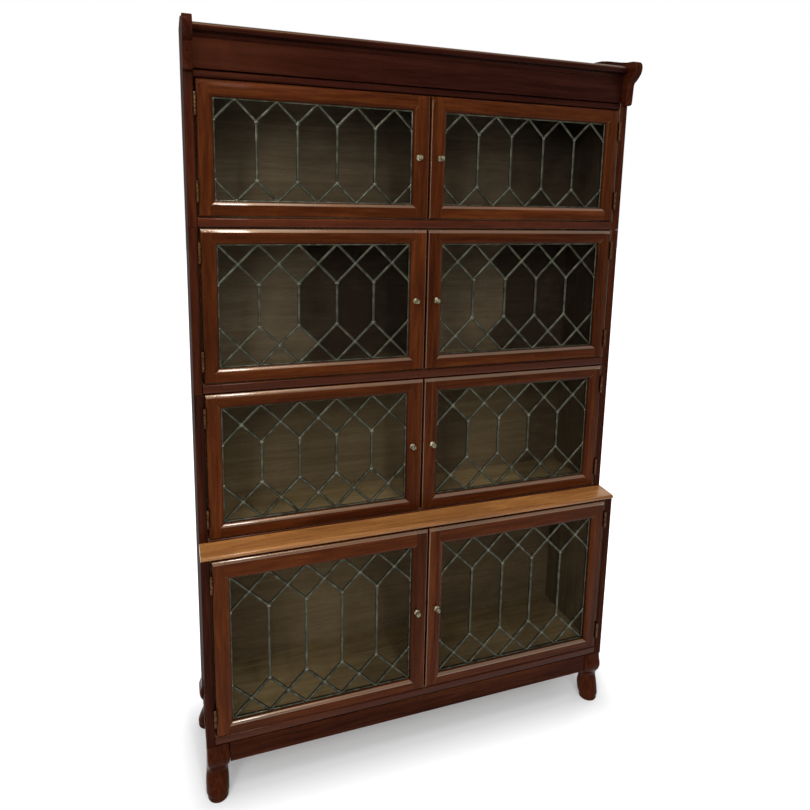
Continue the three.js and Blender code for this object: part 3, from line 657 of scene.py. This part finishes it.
def leg(node, front, sign):
    """A shaped leg: the toe points ahead on a front leg and sideways on a back one."""
    half = LEG_WIDTH / 2
    centre_x = sign * (CASE_HALF - half)
    points = []
    for r in range(LEG_RINGS + 1):
        height = r / LEG_RINGS
        _, swell, back, inner, outer, power = station_at(height)
        along = half + LEG_WIDTH * (swell - back) / 2
        across = half + LEG_WIDTH * (outer - inner) / 2
        ahead = LEG_WIDTH * (swell + back) / 2
        aside = LEG_WIDTH * (outer + inner) / 2
        if front:
            x, y, a, b = centre_x + sign * aside, LOWER_FRONT + half - ahead, across, along
        else:
            x, y, a, b = centre_x + sign * ahead, UPPER_BACK - half - aside, along, across - aside
        for i in range(LEG_SIDES):
            angle = 2 * math.pi * i / LEG_SIDES
            c, s = math.cos(angle), math.sin(angle)
            px = x + a * math.copysign(abs(c) ** (2 / power), c)
            py = y + b * math.copysign(abs(s) ** (2 / power), s)
            points.append((px, min(py, UPPER_BACK), height * LEG_HEIGHT))
    grouped = [points[k:k + LEG_SIDES] for k in range(0, len(points), LEG_SIDES)]
    faces = skin_faces(grouped)
    faces.append(tuple(range(LEG_SIDES)))
    faces.append(tuple(range(len(points) - LEG_SIDES, len(points))))
    mesh = smooth(outward(mesh_of(node, points, faces)), LEG_CREASE)
    stand_in(node + "_shaped", mesh, node, wood_of("base", Z))


for side, sign in (("left", -1), ("right", 1)):
    leg(f"front_{side}_leg", True, sign)
    leg(f"back_{side}_leg", False, sign)


# ------------------------------------------------------------------ door frames
DOOR_THICKNESS = 20 * MM
HINGE_MOULD = 4.5 * MM
SMALL_MOULD = 2.5 * MM
TOP_MOULD = 11 * MM
OUTER_MOULD_DEPTH = 4.5 * MM
SIGHT_MOULD_WIDTH = 8 * MM
SIGHT_MOULD_DEPTH = 6 * MM
GROOVE_FRONT = 8 * MM
GROOVE_BACK = 14 * MM
GROOVE_DEPTH = 6.5 * MM
BACK_CHAMFER = 3 * MM
MEETING_ZONE = 5 * MM
MOULD_STEPS = 8
JOINT_ROUND = 0.35 * MM
CUT_PAST, CUT_INTO = 5 * MM, 4 * MM


def frame_ring(tier):
    """The left door's frame as one mitred ring, to be cut into its stiles and rails."""
    x0, x1, z0, z1, front = door_box(tier)
    s0, s1, t0, t1 = sight_box(tier)
    rings = []

    def ring(left, right, foot, head, depth):
        y = front + depth
        rings.append([(left, y, foot), (right, y, foot), (right, y, head), (left, y, head)])

    def outer(share, depth):
        ring(x0 + share * HINGE_MOULD, x1 - share * SMALL_MOULD,
             z0 + share * SMALL_MOULD, z1 - share * TOP_MOULD, depth)

    def sight(grow, depth):
        ring(s0 - grow, s1 + grow, t0 - grow, t1 + grow, depth)

    outer(0, DOOR_THICKNESS)
    for i in range(MOULD_STEPS + 1):
        angle = i / MOULD_STEPS * math.pi / 2
        outer(1 - math.cos(angle), OUTER_MOULD_DEPTH * (1 - math.sin(angle)))
    for i in range(MOULD_STEPS + 1):
        angle = i / MOULD_STEPS * math.pi / 2
        sight(SIGHT_MOULD_WIDTH * (1 - math.sin(angle)), SIGHT_MOULD_DEPTH * (1 - math.cos(angle)))
    sight(0, GROOVE_FRONT)
    sight(GROOVE_DEPTH, GROOVE_FRONT)
    sight(GROOVE_DEPTH, GROOVE_BACK)
    sight(0, GROOVE_BACK)
    sight(BACK_CHAMFER, DOOR_THICKNESS)
    points = [p for each in rings for p in each]
    return outward(mesh_of("ring", points, skin_faces(rings, True)))


def member_outlines(tier):
    """Where the cuts between stiles and rails run: square shoulders, mitred across the sight moulding."""
    x0, x1, z0, z1, _ = door_box(tier)
    s0, s1, t0, t1 = sight_box(tier)
    m, far, into = SIGHT_MOULD_WIDTH, CUT_PAST, CUT_INTO
    left = [(x0 - far, z0 - far), (s0 - m, z0 - far), (s0 - m, t0 - m), (s0 + into, t0 + into),
            (s0 + into, t1 - into), (s0 - m, t1 + m), (s0 - m, z1 + far), (x0 - far, z1 + far)]
    right = [(x1 + far, z0 - far), (x1 + far, z1 + far), (s1 + m, z1 + far), (s1 + m, t1 + m),
             (s1 - into, t1 - into), (s1 - into, t0 + into), (s1 + m, t0 - m), (s1 + m, z0 - far)]
    foot = [(s0 - m, z0 - far), (s1 + m, z0 - far), (s1 + m, t0 - m), (s1 - into, t0 + into),
            (s0 + into, t0 + into), (s0 - m, t0 - m)]
    head = [(s0 - m, z1 + far), (s0 - m, t1 + m), (s0 + into, t1 - into), (s1 - into, t1 - into),
            (s1 + m, t1 + m), (s1 + m, z1 + far)]
    return {"hinge_stile": left, "meeting_stile": right, "foot_rail": foot, "head_rail": head}


def mirrored(mesh):
    """The right door's piece from the left door's."""
    other = mesh.copy()
    other.transform(Matrix.Scale(-1, 4, (1, 0, 0)))
    other.flip_normals()
    return other


def on_moulding(face, front, shaded_above):
    """The moulded faces that look up, and the rounded edges where the doors meet, take a glossier polish."""
    moulded = face.center.y < front + SIGHT_MOULD_DEPTH and face.normal.y < -0.05
    meeting = abs(face.center.x) < MEETING_ZONE and abs(face.normal.x) > 0.2
    return moulded and face.center.z < shaded_above and (face.normal.z > 0.2 or meeting)


def door_members(tier):
    """Stiles and rails of both doors of a case, each its own piece of timber."""
    _, _, _, head, front = door_box(tier)
    shaded_above = head - TOP_MOULD if tier == "top" else head
    for member, outline in member_outlines(tier).items():
        slab = prism(outline, front - CUT_PAST, front + DOOR_THICKNESS + CUT_PAST)
        cutter = outward(mesh_of("cutter", *slab))
        mesh = soften(boolean(frame_ring(tier), cutter, "INTERSECT"), JOINT_ROUND)
        axis = Z if "stile" in member else X
        for side in SIDES:
            node = f"{tier}_{side}_door_frame"
            made = mesh.copy() if side == "left" else mirrored(mesh)
            piece = weighted(stand_in(f"{tier}_{side}_{member}", made, node, wood_of("door", axis)))
            second_finish(piece, "moulding", axis, lambda face: on_moulding(face, front, shaded_above))


for tier in TIERS:
    door_members(tier)


# ------------------------------------------------------------------ leaded lights
CAME_COLUMNS = 5
CAME_WIDTH = 5 * MM
CAME_FOOT = 1.26 * MM
CAME_CREST = 2.68 * MM
CAME_STEPS = 6
CAME_FULLNESS = 0.75
SOLDER_HEIGHT = 2.69 * MM
SOLDER_RADIUS = (3.3 * MM, 4.2 * MM)
SOLDER_WOBBLE = (0.85, 1.12)
SOLDER_AROUND, SOLDER_LEVELS = 12, 3
SOLDER_SHOULDER = 0.45
GLASS_HALF = 1.1 * MM
GLASS_INSET = 0.7 * MM
GLASS_SLACK = 0.12 * MM
PALENESS_SCATTER = (-0.12, 0.08)
LEAD_CREASE, GLASS_CREASE = 50, 30


def panel_lights(tier):
    """Outlines between the cames' centre lines, for the left door.

    Tall pointed lights stand side by side. Half diamonds fill the edges above and below them, and on every case but
    the top one a row of whole diamonds comes between.
    """
    s0, s1, t0, t1 = sight_box(tier)
    pitch = (s1 - s0) / CAME_COLUMNS
    half = pitch / 2
    rows = 1 if tier == "top" else 2
    span = rows * half
    lights = []
    for k in range(CAME_COLUMNS):
        x = s0 + k * pitch
        low, high = t0 + span, t1 - span
        lights.append([(x, low), (x + half, low - half), (x + pitch, low),
                       (x + pitch, high), (x + half, high + half), (x, high)])
    for edge, up in ((t0, 1), (t1, -1)):
        for k in range(CAME_COLUMNS + 1):
            x = s0 + k * pitch
            at_end = k in (0, CAME_COLUMNS)
            shoulder = edge + up * (span - half)
            light = [(x, edge + up * span)]
            if k < CAME_COLUMNS:
                light.append((x + half, shoulder))
            if rows > 1 or at_end:
                light.append((x, edge))
            if k > 0:
                light.append((x - half, shoulder))
            lights.append(light)
            if rows > 1 and k < CAME_COLUMNS:
                lights.append([(x, edge), (x + half, edge + up * half), (x + pitch, edge)])
    return lights


def key_of(point):
    """The point to a hundredth of a millimetre, so that equal points meet."""
    return round(point[0] * 1e5), round(point[1] * 1e5)


def came_lines(lights):
    """Each centre line once, and each joint once."""
    lines = {}
    for light in lights:
        for a, b in zip(light, light[1:] + light[:1]):
            ends = sorted((a, b), key=key_of)
            lines[tuple(key_of(p) for p in ends)] = ends
    joints = {}
    for a, b in lines.values():
        for p in (a, b):
            joints[key_of(p)] = p
    return list(lines.values()), list(joints.values())


def came_bar(shell, a, b, middle, face):
    """Half of a lead came: a low rounded leaf on one face of the glass, from a to b."""
    run = Vector((b[0] - a[0], b[1] - a[1]))
    length = run.length
    run /= length
    across = Vector((-run.y, run.x))
    rings = []
    for end in (a, b):
        ring = []
        for i in range(CAME_STEPS + 1):
            angle = math.pi * i / CAME_STEPS
            off = math.cos(angle) * CAME_WIDTH / 2
            bulge = math.sin(angle) ** CAME_FULLNESS if 0 < i < CAME_STEPS else 0
            rise = CAME_FOOT + (CAME_CREST - CAME_FOOT) * bulge
            ring.append((end[0] + across.x * off, middle + face * rise, end[1] + across.y * off))
        rings.append(ring)
    points = rings[0] + rings[1]
    count = CAME_STEPS + 1
    faces = [(i, i + 1, count + i + 1, count + i) for i in range(count - 1)]
    faces.append((count - 1, 0, count, 2 * count - 1))
    faces.append(tuple(range(count)))
    faces.append(tuple(range(count, 2 * count)))
    shell.take(points, faces)


def solder_joint(shell, place, middle, face, dice):
    """A flattened, slightly uneven dome of solder where cames meet."""
    around, levels = SOLDER_AROUND, SOLDER_LEVELS
    radius = dice.uniform(*SOLDER_RADIUS)
    wobble = [dice.uniform(*SOLDER_WOBBLE) for _ in range(around)]
    points = []
    for level in range(levels):
        tilt = (level / levels) * math.pi / 2
        for i in range(around):
            angle = 2 * math.pi * i / around
            r = radius * math.cos(tilt) * (wobble[i] if level < 2 else 1)
            share = SOLDER_SHOULDER + (1 - SOLDER_SHOULDER) * math.sin(tilt) if level else 0
            rise = CAME_FOOT + (SOLDER_HEIGHT - CAME_FOOT) * share
            points.append((place[0] + r * math.cos(angle), middle + face * rise, place[1] + r * math.sin(angle)))
    points.append((place[0], middle + face * SOLDER_HEIGHT, place[1]))
    faces = []
    for level in range(levels - 1):
        for i in range(around):
            j = (i + 1) % around
            this, above = level * around, (level + 1) * around
            faces.append((this + i, this + j, above + j, above + i))
    top = (levels - 1) * around
    faces += [(top + i, top + (i + 1) % around, len(points) - 1) for i in range(around)]
    faces.append(tuple(range(around)))
    shell.take(points, faces, 1.0)


def inset(light, by):
    """The outline with each edge moved inwards."""
    area = sum(a[0] * b[1] - b[0] * a[1] for a, b in zip(light, light[1:] + light[:1]))
    inward = math.copysign(by, area)
    edges = []
    for a, b in zip(light, light[1:] + light[:1]):
        run = Vector((b[0] - a[0], b[1] - a[1])).normalized()
        edges.append((Vector((a[0] - run.y * inward, a[1] + run.x * inward)), run))
    corners = []
    for (p, d), (q, e) in zip(edges[-1:] + edges[:-1], edges):
        cross = d.x * e.y - d.y * e.x
        t = ((q.x - p.x) * e.y - (q.y - p.y) * e.x) / cross
        corners.append((p.x + d.x * t, p.y + d.y * t))
    return corners


def quarry(shell, light, middle, dice, paleness):
    """One light of glass, set a little out of true as old leading holds it."""
    outline = inset(light, GLASS_INSET)
    centre = (sum(p[0] for p in outline) / len(outline), sum(p[1] for p in outline) / len(outline))
    size = max(abs(p[0] - centre[0]) + abs(p[1] - centre[1]) for p in outline)
    slack = GLASS_SLACK / size
    tilt_x, tilt_z = dice.uniform(-slack, slack), dice.uniform(-slack, slack)
    points, faces = prism(outline, middle - GLASS_HALF, middle + GLASS_HALF)
    points = [(x, y + (x - centre[0]) * tilt_x + (z - centre[1]) * tilt_z, z) for x, y, z in points]
    shell.take(points, faces, paleness)


def leaded_panel(tier, side):
    """The leading and the lights of one door."""
    flip = 1 if side == "left" else -1
    dice = random.Random(f"{tier} {side}")
    lights = [[(flip * x, z) for x, z in light] for light in panel_lights(tier)]
    lines, joints = came_lines(lights)
    middle = tier_front(tier) + PANE_SET_BACK
    lead, glass = Shell(), Shell()
    for face in (-1, 1):
        for a, b in lines:
            came_bar(lead, a, b, middle, face)
        for joint in joints:
            solder_joint(lead, joint, middle, face, dice)
    s0, s1 = sorted(flip * x for x in sight_box(tier)[:2])
    pale = PALENESS[tier, side]
    for light in lights:
        # Each light's paleness, from the table, is partly painted reflection.
        share = (sum(x for x, _ in light) / len(light) - s0) / (s1 - s0) * CAME_COLUMNS
        paleness = pale[min(int(share), CAME_COLUMNS - 1)] + dice.uniform(*PALENESS_SCATTER)
        quarry(glass, light, middle, dice, min(max(paleness, 0), 1))
    stem = f"{tier}_{side}"
    stand_in(stem + "_leading", lead.mesh("leading", LEAD_CREASE), f"{stem}_came_lattice", LEAD)
    stand_in(stem + "_lights", glass.mesh("lights", GLASS_CREASE), f"{stem}_glass_pane", GLASS[tier])


for tier in TIERS:
    for side in SIDES:
        leaded_panel(tier, side)


# ------------------------------------------------------------------ knobs
KNOB_AROUND = 48
KNOB_CREASE = 55
PETALS = 8
PETAL_DIP = 0.35
HEAD_SHARE = 0.84  # of the rose plate's half width
# Radius as a share of the head's, height off the door as a share of the length, depth of the petals.
KNOB_PROFILE = (
    (1.16, 0.0, 0), (1.18, 0.05, 0), (1.10, 0.10, 0), (0.94, 0.12, 0), (0.90, 0.16, 0), (0.56, 0.20, 0),
    (0.44, 0.28, 0), (0.42, 0.44, 0), (0.50, 0.54, 0.02), (0.78, 0.61, 0.08), (0.97, 0.68, 0.12), (1.0, 0.75, 0.13),
    (0.96, 0.82, 0.13), (0.84, 0.88, 0.12), (0.66, 0.91, 0.09), (0.46, 0.90, 0.05), (0.36, 0.88, 0.0),
    (0.34, 0.93, 0), (0.26, 0.98, 0), (0.14, 1.0, 0),
)


def knob(tier, side):
    """A turned knob with a petalled head, on a small rose plate."""
    node = f"{tier}_{side}_knob"
    low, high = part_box(node)
    x, z = (low.x + high.x) / 2, (low.z + high.z) / 2
    back, length = high.y, high.y - low.y
    head = (high.x - low.x) / 2 * HEAD_SHARE
    rings = []
    for radius, rise, petal in KNOB_PROFILE:
        ring = []
        for i in range(KNOB_AROUND):
            angle = 2 * math.pi * i / KNOB_AROUND
            groove = 0.5 - 0.5 * math.cos(PETALS * angle)
            lobe = 1 - petal * groove
            dip = 1 - PETAL_DIP * petal * groove
            r = radius * head * lobe
            ring.append((x + r * math.cos(angle), back - rise * length * dip, z + r * math.sin(angle)))
        rings.append(ring)
    points = [p for ring in rings for p in ring]
    faces = skin_faces(rings)
    tip = len(points)
    points += [(x, back - length, z), (x, back, z)]
    last = tip - KNOB_AROUND
    for i in range(KNOB_AROUND):
        j = (i + 1) % KNOB_AROUND
        faces.append((last + i, last + j, tip))
        faces.append((i, j, tip + 1))
    mesh = smooth(outward(mesh_of(node, points, faces)), KNOB_CREASE)
    stand_in(node + "_rosette", mesh, node, KNOB_BRASS)


for tier in TIERS:
    for side in SIDES:
        knob(tier, side)


# ------------------------------------------------------------------ hinges
KNUCKLE_RADIUS = 2.75 * MM
KNUCKLE_LENGTH = 12 * MM
KNUCKLE_GAP = 0.6 * MM
KNUCKLE_EASE = 0.35 * MM
PIN_RADIUS, PIN_TIP = 0.55 * KNUCKLE_RADIUS, 0.6 * 0.55 * KNUCKLE_RADIUS
PIN_END = 0.25 * MM
HINGE_INSET = 44 * MM
PIVOT_FORWARD = 1.5 * MM
LEAF = 1 * MM
LEAF_DEPTH = 17 * MM
LEAF_START = 0.5 * MM
HINGE_AROUND = 24
DOOR_GAP = 1.5 * MM


def turned(shell, x, y, stops):
    """A turned form about an upright axis, from (radius, z) stops."""
    angles = [2 * math.pi * i / HINGE_AROUND for i in range(HINGE_AROUND)]
    rings = [[(x + r * math.cos(angle), y + r * math.sin(angle), z) for angle in angles] for r, z in stops]
    points = [p for ring in rings for p in ring]
    faces = skin_faces(rings)
    faces.append(tuple(range(HINGE_AROUND)))
    faces.append(tuple(range(len(points) - HINGE_AROUND, len(points))))
    shell.take(points, faces)


def knuckle(shell, x, y, z0, z1):
    r, ease = KNUCKLE_RADIUS, KNUCKLE_EASE
    turned(shell, x, y, [(r - ease, z0), (r, z0 + ease), (r, z1 - ease), (r - ease, z1)])


def leaf(shell, x0, x1, y0, y1, z0, z1):
    outline = [(x0, z0), (x1, z0), (x1, z1), (x0, z1)]
    shell.take(*prism(outline, y0, y1))


def hinge(tier, side, level, centre):
    """A butt hinge: one leaf rides on the case and one on the door, and the pin stays with the case."""
    sign = -1 if side == "left" else 1
    inner = CASE_HALF - SIDE_THICKNESS
    x, y = sign * (inner - HINGE_GAP / 2), tier_front(tier) - PIVOT_FORWARD
    pitch = KNUCKLE_LENGTH + KNUCKLE_GAP
    half = 1.5 * pitch - KNUCKLE_GAP / 2
    fixed, moving = Shell(), Shell()
    for end in (-1, 1):
        z0 = centre + end * pitch - KNUCKLE_LENGTH / 2
        knuckle(fixed, x, y, z0, z0 + KNUCKLE_LENGTH)
    knuckle(moving, x, y, centre - KNUCKLE_LENGTH / 2, centre + KNUCKLE_LENGTH / 2)
    turned(fixed, x, y, [(PIN_TIP, centre - half - PIN_END), (PIN_RADIUS, centre - half),
                         (PIN_RADIUS, centre + half), (PIN_TIP, centre + half + PIN_END)])
    wall, edge = sign * inner, sign * (inner - HINGE_GAP)
    back = tier_front(tier) + LEAF_DEPTH
    extent = (y + LEAF_START, back, centre - half, centre + half)
    leaf(fixed, *sorted((wall, wall - sign * LEAF)), *extent)
    leaf(moving, *sorted((edge, edge + sign * LEAF)), *extent)
    stem = f"{tier}_{side}_hinge_{level}"
    piece = place_piece(stem + "_fixed_leaf", fixed.mesh("leaf"), "case", HINGE_BRASS)
    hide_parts(f"{tier}_{side}_side")
    piece = place_piece(stem + "_door_leaf", moving.mesh("leaf"), f"{tier}_{side}_door", HINGE_BRASS)
    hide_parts(f"{tier}_{side}_door_frame")


for tier in TIERS:
    _, _, foot, head, _ = door_box(tier)
    for side in SIDES:
        hinge(tier, side, "low", foot - DOOR_GAP + HINGE_INSET)
        hinge(tier, side, "high", head + DOOR_GAP - HINGE_INSET)
